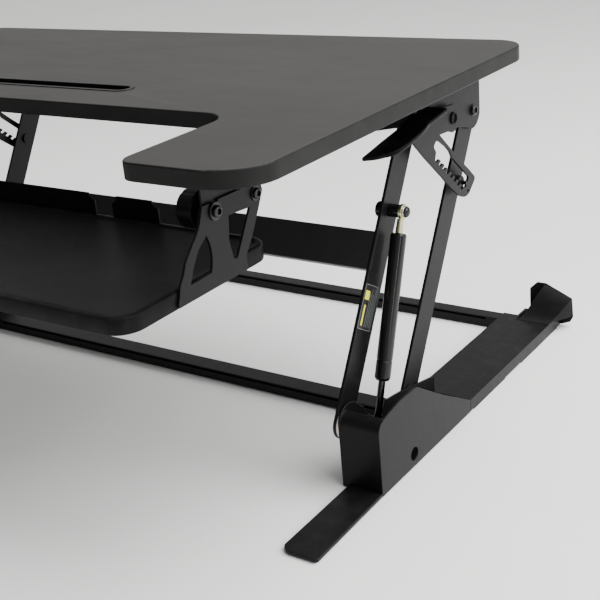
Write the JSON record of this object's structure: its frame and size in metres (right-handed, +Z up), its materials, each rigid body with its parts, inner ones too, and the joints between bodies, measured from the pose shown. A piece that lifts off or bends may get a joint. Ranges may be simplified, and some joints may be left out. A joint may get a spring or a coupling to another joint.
{
  "type": "standing desk converter",
  "caption": "Height-adjustable worktop on parallel steel arms over a low base, with gas springs, squeeze levers, toothed height locks and a hanging keyboard tray.",
  "frame": {"origin": "centre of the bounding box at table level, with the worktop fully raised", "axes": "+X to the user's right, +Y away from the user, +Z up"},
  "size_m": [0.914, 0.7496, 0.4289],
  "materials": {
    "laminate": "matte black laminate with fine texture",
    "black_steel": "satin black powder coat",
    "black_plastic": "moulded black plastic, satin",
    "rubber": "black rubber",
    "black_screws": "black oxide",
    "zinc": "zinc plate",
    "yellow_zinc": "yellow passivated zinc",
    "nylon": "natural nylon",
    "gloss_black": "gloss black enamel",
    "dark_rod": "polished dark steel"
  },
  "bodies": {
    "base": {"foot_rail_left": "black_steel", "foot_rail_right": "black_steel", "rear_stop_left": "black_steel", "rear_stop_right": "black_steel", "pivot_housing_left": "black_steel", "pivot_housing_right": "black_steel", "front_tongue_left": "black_steel", "front_tongue_right": "black_steel", "front_crossbar": "black_steel", "rear_crossbar": "black_steel", "base_pads": "rubber", "front_foot_pins": "black_screws", "rear_foot_pins": "black_screws", "foot_washers": "nylon", "spring_anchors": "black_screws"},
    "front_arms": {"front_arm_left": "black_steel", "front_arm_right": "black_steel", "arm_crossbar": "black_steel", "spring_studs": "black_screws"},
    "worktop": {"worktop_board": "laminate", "slot_trim": "black_plastic", "top_bracket_left": "black_steel", "top_bracket_right": "black_steel", "front_head_pins": "black_screws", "rear_head_pins": "black_screws", "head_washers": "nylon", "bracket_screws": "black_screws", "lever_pivots": "black_screws", "tray_hanger_left": "black_steel", "tray_hanger_right": "black_steel", "tray_pivot_bolts": "black_screws", "tray_clamp_bolts": "black_screws", "hanger_screws": "black_screws"},
    "tray": {"keyboard_tray": "black_plastic", "tray_tabs": "black_steel", "tray_bracket_left": "black_steel", "tray_bracket_right": "black_steel"},
    "rear_arm_right": {"rear_arm_right": "black_steel", "ratchet_pin_right": "black_screws"},
    "spring_cylinder_right": {"spring_cylinder_right": "gloss_black", "spring_eye_right": "yellow_zinc"},
    "spring_rod_right": {"spring_rod_right": "dark_rod"},
    "release_lever_right": {"release_lever_right": "black_steel", "lever_grip_right": "black_plastic"},
    "clamp_knob_right": {"clamp_knob_right": "black_plastic"},
    "rear_arm_left": {"rear_arm_left": "black_steel", "ratchet_pin_left": "black_screws"},
    "spring_cylinder_left": {"spring_cylinder_left": "gloss_black", "spring_eye_left": "yellow_zinc"},
    "spring_rod_left": {"spring_rod_left": "dark_rod"},
    "release_lever_left": {"release_lever_left": "black_steel", "lever_grip_left": "black_plastic"},
    "clamp_knob_left": {"clamp_knob_left": "black_plastic"}
  },
  "joints": [
    {"name": "lift", "type": "hinge", "parent": "base", "child": "front_arms", "pos_m": [0, -0.107, 0.072], "axis": [1, 0, 0], "range_deg": [-40, 0]},
    {"name": "worktop_level", "type": "hinge", "parent": "front_arms", "child": "worktop", "pos_m": [0, 0.075, 0.374], "axis": [1, 0, 0], "range_deg": [0, 40]},
    {"name": "tray_tilt", "type": "hinge", "parent": "worktop", "child": "tray", "pos_m": [0, -0.1757, 0.3526], "axis": [1, 0, 0], "range_deg": [0, 5.5]},
    {"name": "rear_arm_swing_right", "type": "hinge", "parent": "base", "child": "rear_arm_right", "pos_m": [0.3744, 0.035, 0.04], "axis": [1, 0, 0], "range_deg": [-40, 0]},
    {"name": "spring_swing_right", "type": "hinge", "parent": "front_arms", "child": "spring_cylinder_right", "pos_m": [0.3905, 0.01688, 0.27756], "axis": [1, 0, 0], "range_deg": [0, 0.92]},
    {"name": "spring_stroke_right", "type": "slide", "parent": "spring_cylinder_right", "child": "spring_rod_right", "axis": [0, 0.3327, 0.943], "range_m": [0, 0.03519]},
    {"name": "release_right", "type": "hinge", "parent": "worktop", "child": "release_lever_right", "pos_m": [0.388, 0.1487, 0.3495], "axis": [1, 0, 0], "range_deg": [-5, 0], "stiffness_Nm_per_rad": 2, "springref_deg": 8.59},
    {"name": "knob_turn_right", "type": "hinge", "parent": "worktop", "child": "clamp_knob_right", "pos_m": [0.318, -0.239, 0.3545], "axis": [1, 0, 0], "continuous": true},
    {"name": "rear_arm_swing_left", "type": "hinge", "parent": "base", "child": "rear_arm_left", "pos_m": [-0.3744, 0.035, 0.04], "axis": [1, 0, 0], "range_deg": [-40, 0]},
    {"name": "spring_swing_left", "type": "hinge", "parent": "front_arms", "child": "spring_cylinder_left", "pos_m": [-0.3905, 0.01688, 0.27756], "axis": [1, 0, 0], "range_deg": [0, 0.92]},
    {"name": "spring_stroke_left", "type": "slide", "parent": "spring_cylinder_left", "child": "spring_rod_left", "axis": [0, 0.3327, 0.943], "range_m": [0, 0.03519]},
    {"name": "release_left", "type": "hinge", "parent": "worktop", "child": "release_lever_left", "pos_m": [-0.388, 0.1487, 0.3495], "axis": [1, 0, 0], "range_deg": [-5, 0], "stiffness_Nm_per_rad": 2, "springref_deg": 8.59},
    {"name": "knob_turn_left", "type": "hinge", "parent": "worktop", "child": "clamp_knob_left", "pos_m": [-0.318, -0.239, 0.3545], "axis": [1, 0, 0], "continuous": true}
  ],
  "couplings": [
    {"joint": "worktop_level", "follows": "lift", "ratio": -1},
    {"joint": "rear_arm_swing_right", "follows": "lift", "ratio": 1},
    {"joint": "spring_swing_right", "follows": "lift", "ratio": -0.023},
    {"joint": "spring_stroke_right", "follows": "lift", "m_per_rad": -0.0504},
    {"joint": "rear_arm_swing_left", "follows": "lift", "ratio": 1},
    {"joint": "spring_swing_left", "follows": "lift", "ratio": -0.023},
    {"joint": "spring_stroke_left", "follows": "lift", "m_per_rad": -0.0504}
  ]
}
